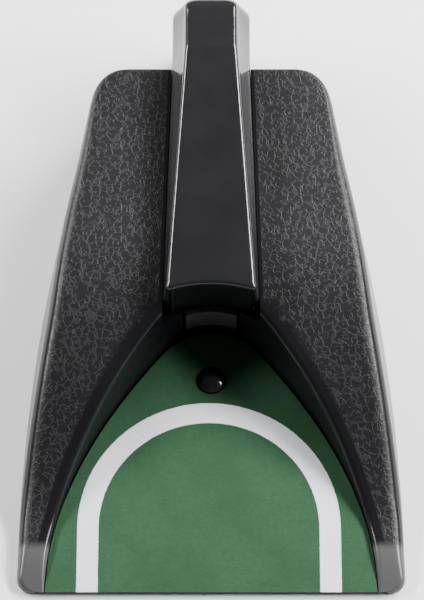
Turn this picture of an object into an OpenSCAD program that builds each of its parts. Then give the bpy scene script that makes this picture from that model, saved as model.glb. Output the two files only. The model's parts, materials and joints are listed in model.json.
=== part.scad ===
/* [Body] */
// Width of the case on the floor
body_w = 180.4; // [176:0.4:186]
// Length of the case from its front edge to its rear wall
body_l = 256; // [254:1:256]
// Height of the case at the rear
body_h = 48; // [46:1:50]
// Height of the nose of each leg
nose_h = 8; // [7:0.5:9]
// Height of the front lip of the ramp
lip_h = 3; // [2.8:0.1:3.2]
// Amount by which each side has drawn in at pocket level
side_curve = 8.5; // [7.5:0.1:9]
// Wall thickness of the case
wall = 2.4; // [2:0.1:2.6]

/* [Spine] */
// Length from the front edge to the end of the spine's tail
total_l = 290; // [288:0.5:291]
// Height of the spine at its crease
spine_h = 66; // [65:0.5:68]
// Height of the spine above the pocket
spine_front_h = 57; // [56:0.5:58]
// Width of the spine above the pocket
spine_front_w = 43; // [42:0.2:44]
// Width of the spine at its crease
spine_rear_w = 26; // [25:0.5:27]
// Wall thickness of the spine cover
spine_wall = 2.2; // [1.8:0.1:2.4]

/* [Ramp] */
// Half width of the felt at the front edge
felt_half_w = 77.3; // [76:0.1:78]
// Height of the felt at the back of the ball pocket
pocket_h = 11; // [10.5:0.1:11.5]
// Radius of the ball pocket
pocket_r = 30; // [29.5:0.5:30.5]
// Felt thickness
felt_t = 0.6; // [0.5:0.1:0.8]
// Ramp plate thickness
ramp_t = 1.6; // [1.4:0.1:1.6]

/* [Trigger] */
// Distance of the button from the front edge
button_y = 104.5; // [103.5:0.5:106]
// Diameter of the button
button_d = 13.2; // [12.6:0.2:14]
// Travel of the button
button_travel = 1.8; // [1.4:0.1:1.8]

/* [Kicker] */
// Distance of the cam axle from the front edge
cam_y = 172; // [171:0.5:173]
// Height of the cam axle
cam_z = 28; // [27.5:0.5:28.5]
// Smallest pitch radius of the snail cam
cam_r0 = 7; // [6.8:0.1:7.2]
// Stroke of the ejector
stroke = 16; // [14:0.5:16]
// Cam angle over which the stroke is made
cam_sweep = 300; // [290:1:300]

/* [Hidden] */
$fn = 48;
eps = 0.01;
foot_h = 1;
edge_z = 0.8;
plate_z = 1;
plate_t = 1.6;
floor_z = plate_z + plate_t;
gap = 0.3;
aa_d = 14.2;
aa_l = 50.2;
batt_x = [-28.5, -43.5];
batt_y = 134;
batt_z = floor_z + 0.6 + aa_d / 2;
door_x = [-52.6, -20.4];
door_y = 126;

black = [0.05, 0.05, 0.055];
gloss_black = [0.03, 0.03, 0.035];
felt_green = [0.16, 0.36, 0.22];
rubber = [0.09, 0.09, 0.09];
steel = [0.7, 0.71, 0.73];
brass = [0.78, 0.62, 0.3];
nylon = [0.9, 0.89, 0.84];

// ---------- outlines and heights; y runs from the front edge to the rear ----------

curve_y = 138;
curve_p = 2.2;
nose_l = 26;
rise_start = 28;
rise_l = 132;
rise_p = 0.82;
ramp_l = 142;
felt_p = 1.9;
arc_x = 22;
front_r = 7;
rear_r = 22;
side_draft = tan(10);
rear_draft = tan(2);
pocket_draft = tan(8);
shoulder = 8;
rear_shoulder = 3;
rim_r = 3;

function clamp01(u) = min(1, max(0, u));
function ease(u) = u * u * (3 - 2 * u);
function mix(a, b, u) = a + (b - a) * u;
function unit(v) = v / norm(v);

function top_z(y) = lip_h + (nose_h - lip_h) * sin(90 * clamp01(y / nose_l))
    + (body_h - nose_h) * ease(pow(clamp01((y - rise_start) / rise_l), rise_p));
function half_w(y) = body_w / 2 - side_curve * pow(max(0, y) / curve_y, curve_p);
function narrowing(y) = side_curve * curve_p / curve_y * pow(max(0, y) / curve_y, curve_p - 1);

// felt edge: nearly a parabola from the front edge, which runs into the arc of the ball pocket
pocket_cy = ramp_l * pow(1 - arc_x / felt_half_w, 1 / felt_p)
    - sqrt(pocket_r * pocket_r - arc_x * arc_x);
pocket_back = pocket_cy + pocket_r;
felt_slope = (pocket_h - lip_h) / pocket_back;
function felt_z(y) = lip_h + felt_slope * y;
function felt_edge_y(x) = x < arc_x ? pocket_cy + sqrt(pocket_r * pocket_r - x * x)
    : ramp_l * pow(max(0, 1 - x / felt_half_w), 1 / felt_p);
function felt_edge_x(y) = felt_half_w * (1 - pow(max(0, y) / ramp_l, felt_p));
function felt_normal(x) = x < arc_x ? [x, felt_edge_y(x) - pocket_cy] / pocket_r
    : unit([1, felt_p * felt_half_w / ramp_l * pow(felt_edge_y(x) / ramp_l, felt_p - 1)]);

// outer edge of the case, from the front corner along the right side to the rear centre;
// each entry is [x, y, inward normal x, inward normal y]
corner_tilt = atan(narrowing(body_l - rear_r));
corner_y = body_l - rear_r + rear_r * sin(corner_tilt);
corner_cx = half_w(corner_y) - rear_r * cos(corner_tilt);
side_n = 22;
function side_y(j) = mix(front_r, corner_y, j / side_n);
outer_edge = concat(
    [for (a = [0:22.5:67.5])
        [body_w / 2 - front_r + front_r * sin(a), front_r - front_r * cos(a), -sin(a), cos(a)]],
    [for (j = [0:side_n]) let (y = side_y(j), n = unit([1, narrowing(y)]))
        [half_w(y), y, -n[0], -n[1]]],
    [for (k = [1:5]) let (a = mix(corner_tilt, 90, k / 5))
        [corner_cx + rear_r * cos(a), body_l - rear_r + rear_r * sin(a), -cos(a), -sin(a)]],
    [for (k = [1:4]) [corner_cx * (1 - k / 4), body_l, 0, -1]]);
stations = len(outer_edge);

// the matching points on the felt edge: straight across the legs, then fanned round the pocket
leg_end = 8;
fan_x = felt_edge_x(outer_edge[leg_end][1]);
inner_edge = [for (i = [0:stations - 1])
    i <= leg_end ? let (y = outer_edge[i][1], x = felt_edge_x(y)) concat([x, y], felt_normal(x))
    : let (x = fan_x * (1 - (i - leg_end) / (stations - 1 - leg_end)))
        concat([x, felt_edge_y(x)], felt_normal(x))];

// 0 along the sides, 1 along the rear edge, where the wall is steeper and its shoulder tighter
rear_from = 23;
rear_to = 30;
function rear_share(i) = ease(clamp01((i - rear_from) / (rear_to - rear_from)));

// One section of the case, from the outer edge to the felt edge. skin moves every face inward.
min_lean = 0.7;
arc_steps = 4;
top_steps = 5;
function section(i, skin, low) = let (
    po = [outer_edge[i][0], outer_edge[i][1]],
    pi = [inner_edge[i][0], inner_edge[i][1]],
    dir = unit(pi - po),
    lo = 1 / max(min_lean, dir * [outer_edge[i][2], outer_edge[i][3]]),
    li = 1 / max(min_lean, -dir * [inner_edge[i][2], inner_edge[i][3]]),
    r = min(mix(shoulder, rear_shoulder, rear_share(i)), 0.7 * top_z(po[1])),
    q = min(rim_r, 0.4 * top_z(pi[1])),
    outer_rise = (top_z(po[1]) - r - edge_z) * mix(side_draft, rear_draft, rear_share(i)),
    inner_rise = max(0, top_z(pi[1]) - q - felt_z(pi[1])) * pocket_draft,
    a0 = po + dir * lo * skin,
    b0 = pi - dir * li * skin,
    a1 = a0 + dir * lo * (outer_rise + max(0.2, r - skin)),
    b1 = b0 - dir * li * (inner_rise + max(0.2, q - skin)))
    concat(
        [[a0[0], a0[1], low]],
        [for (k = [0:arc_steps]) let (a = 90 * k / arc_steps, rr = max(0.2, r - skin),
            p = a0 + dir * lo * (outer_rise + rr * (1 - cos(a))))
            [p[0], p[1], top_z(p[1]) - skin - rr * (1 - sin(a))]],
        [for (k = [1:top_steps]) let (p = mix(a1, b1, k / (top_steps + 1)))
            [p[0], p[1], top_z(p[1]) - skin]],
        [for (k = [arc_steps:-1:0]) let (a = 90 * k / arc_steps, rr = max(0.2, q - skin),
            p = b0 - dir * li * (inner_rise + rr * (1 - cos(a))))
            [p[0], p[1], top_z(p[1]) - skin - rr * (1 - sin(a))]],
        [[b0[0], b0[1], low]]);

// The wall's own section: out along the outer face and back along the inner one
lip_share = 0.35;
function reversed(list) = [for (i = [len(list) - 1:-1:0]) list[i]];
function wall_section(i) = let (t = min(wall, lip_share * (top_z(outer_edge[i][1]) - edge_z)))
    concat(section(i, 0, edge_z), reversed(section(i, t, edge_z)));

// Left half, then right half, with the rear centre section shared
function both_sides(list) = concat([for (row = list) [for (p = row) [-p[0], p[1], p[2]]]],
    [for (i = [len(list) - 2:-1:0]) list[i]]);

// Closed solid through a row of sections with the same number of points. A thin section is a
// path out and back, and its two ends are closed by strips across the wall.
module skin_solid(rows, thin = false) {
    n = len(rows[0]);
    m = len(rows);
    z = (m - 1) * n;
    sides = [for (i = [0:m - 2], j = [0:n - 1], t = [0:1]) let (k = (j + 1) % n)
        t == 0 ? [i * n + j, (i + 1) * n + j, (i + 1) * n + k]
            : [i * n + j, (i + 1) * n + k, i * n + k]];
    strips = [for (j = [0:n / 2 - 2], t = [0:1]) t == 0 ? [j, j + 1, n - 2 - j] : [j, n - 2 - j, n - 1 - j]];
    first = thin ? strips : [[for (j = [0:n - 1]) j]];
    last = thin ? [for (f = strips) [z + f[2], z + f[1], z + f[0]]] : [[for (j = [n - 1:-1:0]) z + j]];
    polyhedron(points = [for (row = rows, p = row) p], faces = concat(sides, first, last));
}

// ---------- spine ----------

spine_y0 = 118;
spine_ref_y = 127;
crease_y = 255;
slope_y = 277;
tail_y = body_l + 0.5;
spine_z0 = 33.2;
tail_drop = 4;
tail_round = 6.5;
tail_round_l = total_l - 2 - slope_y;
base_corner_r = 8;
top_corner_r = 6;
base_front_w = 22.7;
base_rear_w = 18.9;
tail_flare = 0.8;
top_r = 2.5;
front_wall_y = 132.6;
front_wall_r = 65;

function spine_top_w(y) = mix(spine_front_w / 2, spine_rear_w / 2,
    (min(y, crease_y) - spine_ref_y) / (crease_y - spine_ref_y));
function spine_base_w(y) = mix(base_front_w, base_rear_w,
    clamp01((y - spine_ref_y) / (body_l - spine_ref_y)));
function spine_top_z(y) = y < crease_y
    ? mix(spine_front_h, spine_h, (y - spine_ref_y) / (crease_y - spine_ref_y))
    : y < slope_y ? mix(spine_h, spine_h - tail_drop, (y - crease_y) / (slope_y - crease_y))
    : spine_h - tail_drop - tail_round * (1 - sqrt(max(0, 1 - pow((y - slope_y) / tail_round_l, 2))));

// Levels of the spine's wall: 0 bottom, 1 at the case's top, 2 to 5 over the edge.
// Each level is a closed loop with the same number of points, right side then left side.
corner_n = 6;
spine_rows_y = [spine_y0, 134, 145, 160, 180, 200, 220, 240, crease_y, 0, 0, 262, 270];
function level_x(level, y, skin) = level == 0 ? spine_base_w(y) + (y > body_l ? tail_flare : 0) - skin
    : level == 1 ? spine_base_w(y) - skin
    : spine_top_w(y) - skin - top_r * (1 - cos(30 * (level - 2)));
function level_rear(level, skin) = total_l - skin - (level == 0 ? 0 : level == 1 ? 1
    : 2 + top_r * (1 - cos(30 * (level - 2))));
function level_z(level, y, skin, step, low) = level == 0 ? (y > step ? low : spine_z0 - (skin > 0 ? 5 : 0))
    : level == 1 ? max(top_z(y), spine_z0 + 4) - (skin > 0 ? 1 : 0)
    : spine_top_z(y) - skin - top_r * (1 - sin(30 * (level - 2)));
function level_half(level, skin, step, low) = let (
    rear = level_rear(level, skin),
    r = max(2, (level < 2 ? base_corner_r : top_corner_r) - skin),
    yc = rear - r,
    xs = level_x(level, yc, skin))
    concat(
        [for (k = [0:len(spine_rows_y) - 1]) let (raw = spine_rows_y[k],
            y = raw > 0 ? raw : (k == 9 ? step - 0.1 : step + 0.1))
            [level_x(level, y, skin), y, level_z(level, y, skin, step, low)]],
        [for (k = [0:corner_n]) let (a = 90 * k / corner_n, y = yc + r * sin(a))
            [xs - r + r * cos(a), y, level_z(level, y, skin, step, low)]]);
function level_loop(level, skin, step, low) = let (h = level_half(level, skin, step, low), n = len(h))
    concat(h, [for (i = [n - 1:-1:0]) [-h[i][0], h[i][1], h[i][2]]]);

module spine_solid(skin, step, low) {
    loops = [for (level = [0:5]) level_loop(level, skin, step, low)];
    n = len(loops[0]);
    half = n / 2;
    walls = [for (i = [0:4], j = [0:n - 1], t = [0:1]) let (k = (j + 1) % n)
        t == 0 ? [i * n + j, i * n + k, (i + 1) * n + k]
            : [i * n + j, (i + 1) * n + k, (i + 1) * n + j]];
    caps = [for (j = [0:half - 2], end = [0, 5], t = [0:1])
        let (a = end * n + j, b = end * n + j + 1, c = end * n + n - 2 - j, d = end * n + n - 1 - j)
        end == 5 ? (t == 0 ? [a, b, c] : [a, c, d]) : (t == 0 ? [c, b, a] : [d, c, a])];
    polyhedron(points = [for (l = loops, p = l) p], faces = [for (f = concat(walls, caps)) [f[2], f[1], f[0]]]);
}

// ---------- small shared shapes ----------

module rod_x(x0, x1, r) {
    translate([x0, 0, 0]) rotate([0, 90, 0]) cylinder(r = r, h = x1 - x0);
}

// Flat plate in the Y-Z plane
module plate_x(x0, t) {
    translate([x0, 0, 0]) rotate([90, 0, 90]) linear_extrude(t) children();
}

// Round tube along a path; ref is a direction that the path never follows
function ring_at(path, i, r, sides, ref) = let (
    t = unit(path[min(i + 1, len(path) - 1)] - path[max(i - 1, 0)]),
    u = unit(cross(t, ref)),
    v = cross(t, u))
    [for (k = [0:sides - 1]) let (a = 360 * k / sides) path[i] + r * (cos(a) * u + sin(a) * v)];
module tube(path, r, sides, ref) {
    skin_solid([for (i = [0:len(path) - 1]) ring_at(path, i, r, sides, ref)]);
}
function coil(radius, length, turns, steps) = [for (i = [0:turns * steps])
    let (a = 360 * i / steps) [radius * cos(a), radius * sin(a), length * i / (turns * steps)]];

// Involute gear of module m in the X-Y plane
function involute(rb, r) = let (a = sqrt(max(0, pow(r / rb, 2) - 1))) a * 180 / PI - atan(a);
function gear_points(m, teeth, backlash) = let (
    rp = m * teeth / 2, rb = rp * cos(20), ra = rp + m, rf = rp - 1.2 * m,
    r0 = max(rb, rf), half = 90 / teeth - backlash / rp * 28.65 + involute(rb, rp))
    [for (i = [0:teeth - 1], k = [0:9]) let (
        c = 360 * i / teeth,
        side = k < 5 ? -1 : 1,
        step = k < 5 ? k : 9 - k,
        r = step == 0 ? rf : mix(r0, ra, (step - 1) / 3),
        a = step == 0 ? half : half - involute(rb, max(r, rb)))
        r * [cos(c + side * a), sin(c + side * a)]];
module gear_2d(m, teeth) {
    polygon(gear_points(m, teeth, 0.08));
}
module gear_x(x0, t, m, teeth, phase) {
    plate_x(x0, t) rotate(phase) gear_2d(m, teeth);
}

// Position of an axle in the gearbox, y from the front edge
module at_axle(p) {
    translate([0, p[0], p[1]]) children();
}

module place() {
    translate([0, -total_l / 2, 0]) children();
}

// Pan-head screw that points up from z = 0
module screw(head_r, head_h, core_r, length) {
    cylinder(r = head_r, h = head_h);
    cylinder(r = core_r, h = length);
}

// ---------- layout of the mechanism ----------

m_cam = 0.7;
m_small = 0.5;
cam_teeth = 54;
second_pinion = 12;
second_wheel = 56;
first_pinion = 10;
first_wheel = 40;
motor_teeth = 10;
run_fit = 0.05;
second_dir = -20;
first_dir = 3;
motor_dir = -12;
function away(p, d, a) = p + d * [cos(a), sin(a)];
cam_axis = [cam_y, cam_z];
second_axis = away(cam_axis, m_cam * (cam_teeth + second_pinion) / 2, second_dir);
first_axis = away(second_axis, m_small * (second_wheel + first_pinion) / 2, first_dir);
motor_axis = away(first_axis, m_small * (first_wheel + motor_teeth) / 2, motor_dir);
axle_r = 1;
cam_axle_r = 2;
plate_x0 = 14.2;
box_t = 1.6;
pin_r = 2;
pin_y = cam_y + cam_r0;
cam_rate = stroke / cam_sweep;
rail_x = 3.4;
rail_t = 2.6;
rail_h = 8.4;
pad_z = [16.2, 30.6];
pad_w = 24;
window_w = 27;
window_z = [15.2, 31.6];
posts = [[146, 9], [146, 44], [236, 9], [236, 32]];
// Screw bosses of the case: x, y and the height they reach; the short ones join the side wall
case_posts = [[-77, 66, top_z(66) - 1.2], [77, 66, top_z(66) - 1.2], [-60, 150, top_z(150) - 1.2],
    [60, 150, top_z(150) - 1.2], [-61, 212, 28], [55, 236, 28]];
feet = [[-76, 78], [76, 78], [-58, 226], [58, 226]];
tail_posts = [-7, 7];
tail_post_y = 272;
screw_r = 1.1;
motor_r = 10;
motor_l = 24;
motor_x = plate_x0 + box_t;
wire_r = 0.7;
lead_notch_z = 5.2;

// ---------- casings ----------

module upper_case() {
    color(black) place() difference() {
        union() {
            skin_solid(both_sides([for (i = [0:stations - 1]) wall_section(i)]), thin = true);
            for (p = case_posts) translate([p[0], p[1], floor_z])
                cylinder(r = 3.2, h = p[2] - floor_z);
        }
        for (p = case_posts) translate([p[0], p[1], 0])
            cylinder(r = screw_r, h = min(18, p[2] - 1.5));
        spine_slot();
        translate([-window_w / 2, 120, window_z[0]])
            cube([window_w, 20, window_z[1] - window_z[0]]);
        translate([door_x[0] - gap, body_l - 16, -1])
            cube([door_x[1] - door_x[0] + 2 * gap, 20, floor_z + 1.3]);
        translate([-71, base_y0 - 1.5, -1]) cube([142, 90, floor_z + 1.2]);
        translate([14, 118, 0]) cube([10, 14, lead_notch_z]);
    }
}

// Space in the case for the spine cover, open towards the ball pocket
module spine_slot() {
    w = spine_base_w(spine_y0) + 0.25;
    translate([0, 0, spine_z0 - 0.2]) linear_extrude(40) polygon([
        [-w, spine_y0], [w, spine_y0], [spine_base_w(spine_ref_y) + 0.25, spine_ref_y],
        [base_rear_w + 0.25, body_l], [base_rear_w + 0.25, body_l + 10],
        [-base_rear_w - 0.25, body_l + 10], [-base_rear_w - 0.25, body_l],
        [-spine_base_w(spine_ref_y) - 0.25, spine_ref_y]]);
}

module pocket_cylinder(r) {
    translate([0, pocket_cy, 0]) cylinder(r = r, h = 80, $fn = 96);
}

// Cylinder that hollows the front of the spine; inset makes it larger
module front_hollow(inset) {
    translate([0, front_wall_y - front_wall_r, 0]) cylinder(r = front_wall_r + inset, h = 80, $fn = 192);
}

module spine_cover() {
    hook_t = 1.6;
    color(gloss_black) place() {
        difference() {
            union() {
                difference() {
                    spine_solid(0, tail_y, edge_z);
                    difference() {
                        spine_solid(spine_wall, tail_y + spine_wall, -5);
                        front_hollow(spine_wall);
                    }
                }
                for (x = tail_posts) translate([x, tail_post_y, 4])
                    cylinder(r = 3, h = spine_top_z(tail_post_y) - 5.5);
            }
            front_hollow(0);
            for (x = tail_posts) translate([x, tail_post_y, 0]) cylinder(r = screw_r, h = 16);
        }
        for (s = [-1, 1], y = [156, 214]) translate([s * (spine_base_w(y + 10) + 0.6) - 1.2, y, 34])
            cube([2.4, 10, hook_t]);
    }
}

module felt_outline(inset) {
    xs = [for (i = [0:40]) felt_half_w * (1 - i / 40)];
    half = [for (x = xs) let (p = [x, felt_edge_y(x)] - inset * felt_normal(x))
        [max(0, p[0]), max(0, p[1])]];
    polygon(concat(half, [for (i = [len(half) - 2:-1:0]) [-half[i][0], half[i][1]]]));
}

// Slab that follows the slope of the ramp, with its top at depth below the felt's surface
module ramp_slab(depth, t) {
    translate([0, 0, lip_h]) rotate([atan(felt_slope), 0, 0])
        translate([-100, -5, -t - depth]) cube([200, 150, t]);
}

module ramp_plate() {
    rib_y = [24, 60, 88];
    color(black) place() difference() {
        union() {
            intersection() {
                linear_extrude(20) felt_outline(0.4);
                ramp_slab(felt_t, ramp_t);
            }
            for (y = rib_y) translate([-45, y, floor_z + 0.2])
                cube([90, 1.5, max(0.6, felt_z(y) - felt_t - 1 - floor_z - 0.2)]);
        }
        translate([0, button_y, 0]) cylinder(d = button_d + 0.6, h = 20);
    }
}

module felt_mat() {
    color(felt_green) place() difference() {
        intersection() {
            linear_extrude(20) felt_outline(0.35);
            ramp_slab(0, felt_t);
        }
        translate([0, button_y, 0]) cylinder(d = button_d + 1.2, h = 20);
    }
}

base_y0 = 53;
plate_inset = 1.35;
// Outline of the case behind y0, moved inward
module case_outline(inset, y0) {
    right = [for (p = outer_edge) if (p[1] > y0) [p[0] + p[2] * inset, p[1] + p[3] * inset]];
    start = half_w(y0) - inset;
    polygon(concat([[start, y0]], right,
        [for (i = [len(right) - 2:-1:0]) [-right[i][0], right[i][1]]], [[-start, y0]]));
}

module base_plate() {
    ridge = 2.2;
    color(black) place() difference() {
        union() {
            translate([0, 0, plate_z]) linear_extrude(plate_t) case_outline(wall + plate_inset, base_y0);
            for (x = [plate_x0 - ridge - 0.1, plate_x0 + box_t + 0.1], s = [-1, 1], y = [148, 222])
                translate([s > 0 ? x : -x - ridge, y, floor_z - eps]) cube([ridge, 12, 3]);
            for (x = [26, 46], y = [152, 196]) translate([x, y, floor_z - eps])
                cylinder(r = 2.2, h = 4.4);
        }
        translate([door_x[0] - gap, door_y - gap, 0])
            cube([door_x[1] - door_x[0] + 2 * gap, body_l, 5]);
        for (p = case_posts) translate([p[0], p[1], 0]) cylinder(r = 1.7, h = 5);
        for (p = feet) translate([p[0], p[1], 0]) cylinder(r = 2.5, h = plate_z + 0.6);
    }
}

// ---------- battery compartment ----------

module battery_door() {
    color(black) place() difference() {
        intersection() {
            translate([door_x[0], door_y, plate_z])
                cube([door_x[1] - door_x[0], body_l - 0.6 - door_y, plate_t - 0.1]);
            linear_extrude(10) case_outline(0.6, 0);
        }
        for (k = [0:4]) translate([mix(door_x[0], door_x[1], 0.25), body_l - 24 + 3 * k, plate_z - 1])
            cube([(door_x[1] - door_x[0]) / 2, 1.2, 1.6]);
    }
}

module battery_tray() {
    t = 1.4;
    x0 = batt_x[1] - aa_d / 2 - 1 - t;
    x1 = batt_x[0] + aa_d / 2 + 0.6 + t;
    y0 = batt_y - 3 - t;
    l = 2 * aa_l + 6 + 2 * t;
    h = aa_d + 1.5;
    color(black) place() difference() {
        translate([x0, y0, floor_z + 0.3]) cube([x1 - x0, l, h + t]);
        translate([x0 + t, y0 + t, floor_z - 1]) cube([x1 - x0 - 2 * t, l - 2 * t, h + 1.3]);
    }
}

module batteries() {
    color([0.75, 0.55, 0.2]) place() for (x = batt_x, row = [0, 1])
        translate([x, batt_y + row * aa_l, batt_z]) rotate([-90, 0, 0]) {
            cylinder(d = aa_d, h = aa_l - 1.6);
            cylinder(d = 5.4, h = aa_l - 0.1);
        }
}

module battery_contacts() {
    color(steel) place() for (x = batt_x, y = [batt_y - 2.9, batt_y + 2 * aa_l + 2.4])
        translate([x - 5, y, batt_z - 5]) cube([10, 0.5, 10]);
    color(steel) place() for (x = batt_x)
        translate([x, batt_y - 2.5, batt_z]) rotate([-90, 0, 0])
            tube(coil(3, 2, 3, 10), 0.3, 6, [0, 0, 1]);
}

// ---------- trigger ----------

flange_t = 1;
flange_z = felt_z(button_y) - felt_t - ramp_t - flange_t - 0.7;
dome_top = felt_z(button_y) + button_travel + 1.2;

module trigger_button() {
    cap_h = dome_top - flange_z;
    dome_r = 9.5;
    color(gloss_black) place() translate([0, button_y, flange_z]) {
        cylinder(d = button_d + 3, h = flange_t);
        rotate_extrude() intersection() {
            square([button_d / 2, cap_h]);
            translate([0, cap_h - dome_r]) circle(r = dome_r, $fn = 96);
        }
    }
}

module trigger_spring() {
    color(steel) place() translate([0, button_y, floor_z + 0.3])
        tube(coil(2.4, flange_z - floor_z - 0.6, 3, 16), 0.25, 6, [0, 0, 1]);
}

switch_y = 116.5;
lever_t = 0.4;
lever_z = flange_z - 0.3 - lever_t;
hinge_y = switch_y + 1.2;
lever_tip_y = button_y + 7.1;
pivot_r = 0.4;

module switch_body() {
    color([0.15, 0.15, 0.17]) place() difference() {
        translate([-3, switch_y, floor_z]) cube([6, 9, flange_z - floor_z]);
        translate([-1.9, switch_y - 1, lever_z - 1.6]) cube([3.8, 3.6, 4]);
        translate([0, hinge_y, lever_z]) rod_x(-2.7, 2.7, pivot_r + run_fit);
    }
    color(steel) place() for (y = [switch_y + 4, switch_y + 7.4])
        translate([2.9, y, floor_z + 0.6]) cube([2.6, 1, 0.4]);
}

module switch_lever() {
    color(steel) place() {
        translate([-1.6, lever_tip_y, lever_z]) cube([3.2, hinge_y + 0.4 - lever_tip_y, lever_t]);
        translate([0, hinge_y, lever_z]) rod_x(-2.6, 2.6, pivot_r);
    }
}

// ---------- ejector ----------

head_y = 133.6;
rail_end = pin_y + 5;
cam_gear_x = 7;
cam_gear_t = 4;

module ejector_carriage() {
    slot_h = 2 * cam_axle_r + 0.6;
    // The head is relieved so that the cam gear's teeth stay clear of it at full stroke
    gear_room = 0.5;
    relief_y = cam_y - m_cam * (cam_teeth + 2) / 2 - gear_room - stroke;
    color([0.82, 0.2, 0.12]) place() difference() {
        union() {
            translate([-pad_w / 2, head_y, pad_z[0]]) cube([pad_w, 5, pad_z[1] - pad_z[0]]);
            for (x = [rail_x, -rail_x - rail_t]) translate([x, head_y + 3, cam_z - rail_h / 2])
                cube([rail_t, rail_end - head_y - 3, rail_h]);
            translate([-rail_x - rail_t, rail_end - 2, cam_z - rail_h / 2])
                cube([2 * (rail_x + rail_t), 2, rail_h]);
        }
        for (y = [cam_y - stroke - 1, cam_y + 0.6]) translate([-10, y, cam_z]) rod_x(0, 20, slot_h / 2);
        translate([-10, cam_y - stroke - 1, cam_z - slot_h / 2])
            cube([20, stroke + 1.6, slot_h]);
        translate([-10, pin_y, cam_z]) rod_x(0, 20, pin_r);
        translate([cam_gear_x - gear_room, relief_y, pad_z[0] - 1])
            cube([cam_gear_t + 2 * gear_room, 10, pad_z[1] - pad_z[0] + 2]);
    }
}

module ejector_pin() {
    color(steel) place() translate([0, pin_y, cam_z]) rod_x(-rail_x - rail_t, rail_x + rail_t, pin_r);
}

module ejector_pad() {
    color(rubber) place() difference() {
        translate([-pad_w / 2, head_y - 8, pad_z[0]]) cube([pad_w, 8, pad_z[1] - pad_z[0]]);
        pocket_cylinder(pocket_r + 1.7);
    }
}

spring_y1 = 226;
module ejector_spring() {
    color(steel) place() translate([0, rail_end + 0.7, cam_z]) rotate([-90, 0, 0])
        tube(coil(3.9, spring_y1 - rail_end - 1.4, 8, 14), 0.5, 6, [0, 0, 1]);
}

module spring_bracket() {
    color(black) place() translate([-plate_x0, spring_y1, cam_z - 6]) cube([2 * plate_x0, 2.4, 12]);
}

// Snail cam: the pin's centre moves outward by the same amount for each degree
function cam_pitch(a) = cam_r0 + cam_rate * a;
function cam_point(a) = let (
    r = cam_pitch(a), dr = cam_rate * 180 / PI,
    n = unit([r * cos(-a) - dr * sin(-a), r * sin(-a) + dr * cos(-a)]))
    r * [cos(-a), sin(-a)] - (pin_r + run_fit) * n;
module cam_wheel() {
    cam_t = 5.6;
    hub_r = 4.4;
    color(nylon) place() at_axle(cam_axis) difference() {
        plate_x(-cam_t / 2, cam_t) polygon(concat(
            [for (a = [-8:4:cam_sweep]) cam_point(a)],
            [for (a = [cam_sweep + 6:8:346]) hub_r * [cos(-a), sin(-a)]]));
        rod_x(-5, 5, cam_axle_r);
    }
}

module cam_gear() {
    color(nylon) place() at_axle(cam_axis) difference() {
        gear_x(cam_gear_x, cam_gear_t, m_cam, cam_teeth, 0);
        rod_x(6, 12, cam_axle_r);
        for (a = [0:60:300]) rotate([a, 0, 0]) translate([0, 12.5, 0]) rod_x(6, 12, 4);
    }
}

module cam_axle() {
    color(steel) place() at_axle(cam_axis) rod_x(-plate_x0 - box_t - 1, plate_x0 + box_t + 1, cam_axle_r);
}

// A tooth of the cam gear points along second_dir only if its phase allows it, so the pinion's
// phase takes up what is left of one pitch
function follow_phase(dir, lead_phase, lead, teeth) =
    dir + 180 + 180 / teeth + (dir - lead_phase) * lead / teeth;
second_phase = follow_phase(second_dir, 0, cam_teeth, second_pinion);
first_phase = follow_phase(first_dir, second_phase, second_wheel, first_pinion);
motor_phase = follow_phase(motor_dir, first_phase, first_wheel, motor_teeth);

module second_gear() {
    color(nylon) place() at_axle(second_axis) difference() {
        union() {
            gear_x(cam_gear_x, cam_gear_t + 0.2, m_cam, second_pinion, second_phase);
            gear_x(cam_gear_x + cam_gear_t + 0.2, 1.8, m_small, second_wheel, second_phase);
        }
        rod_x(6, 14, axle_r + run_fit);
    }
}

module first_gear() {
    color(nylon) place() at_axle(first_axis) difference() {
        union() {
            gear_x(9, 1.8, m_small, first_wheel, first_phase);
            gear_x(10.8, 2.6, m_small, first_pinion, first_phase);
        }
        rod_x(8, 14, axle_r + run_fit);
    }
}

module second_axle() {
    color(steel) place() at_axle(second_axis) rod_x(-plate_x0 - box_t, plate_x0 + box_t, axle_r);
}

module first_axle() {
    color(steel) place() at_axle(first_axis) rod_x(-plate_x0 - box_t, plate_x0 + box_t, axle_r);
}

// ---------- motor ----------

module motor_can() {
    color(steel) place() at_axle(motor_axis) difference() {
        rod_x(motor_x, motor_x + motor_l, motor_r);
        rod_x(motor_x + 1, motor_x + motor_l + 1, motor_r - 0.8);
        rod_x(motor_x - 1, motor_x + 2, axle_r + run_fit);
        for (s = [-1, 1]) translate([0, s * 6.5, 0]) rod_x(motor_x - 1, motor_x + 2, 0.9);
    }
}

module motor_end_cap() {
    color(nylon) place() at_axle(motor_axis) difference() {
        union() {
            rod_x(motor_x + motor_l, motor_x + motor_l + 2, motor_r);
            rod_x(motor_x + motor_l + 2, motor_x + motor_l + 3.4, 3);
        }
        rod_x(motor_x + motor_l - 1, motor_x + motor_l + 2.4, axle_r + run_fit);
    }
}

module motor_rotor() {
    color([0.6, 0.35, 0.2]) place() at_axle(motor_axis) {
        rod_x(motor_x - 6.6, motor_x + motor_l + 2, axle_r);
        rod_x(motor_x + 4, motor_x + motor_l - 5, motor_r - 3.4);
    }
}

module motor_pinion() {
    color(brass) place() at_axle(motor_axis) difference() {
        gear_x(motor_x - 7.2, 5, m_small, motor_teeth, motor_phase);
        rod_x(motor_x - 9, motor_x, axle_r);
    }
}

module motor_screws() {
    color(steel) place() at_axle(motor_axis) for (s = [-1, 1]) translate([motor_x - box_t, s * 6.5, 0])
        rotate([0, 90, 0]) {
            translate([0, 0, -0.9]) cylinder(r = 1.8, h = 0.9);
            translate([0, 0, -0.5]) cylinder(r = 0.9, h = box_t + 1.4);
        }
}

// ---------- gearbox frame ----------

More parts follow.
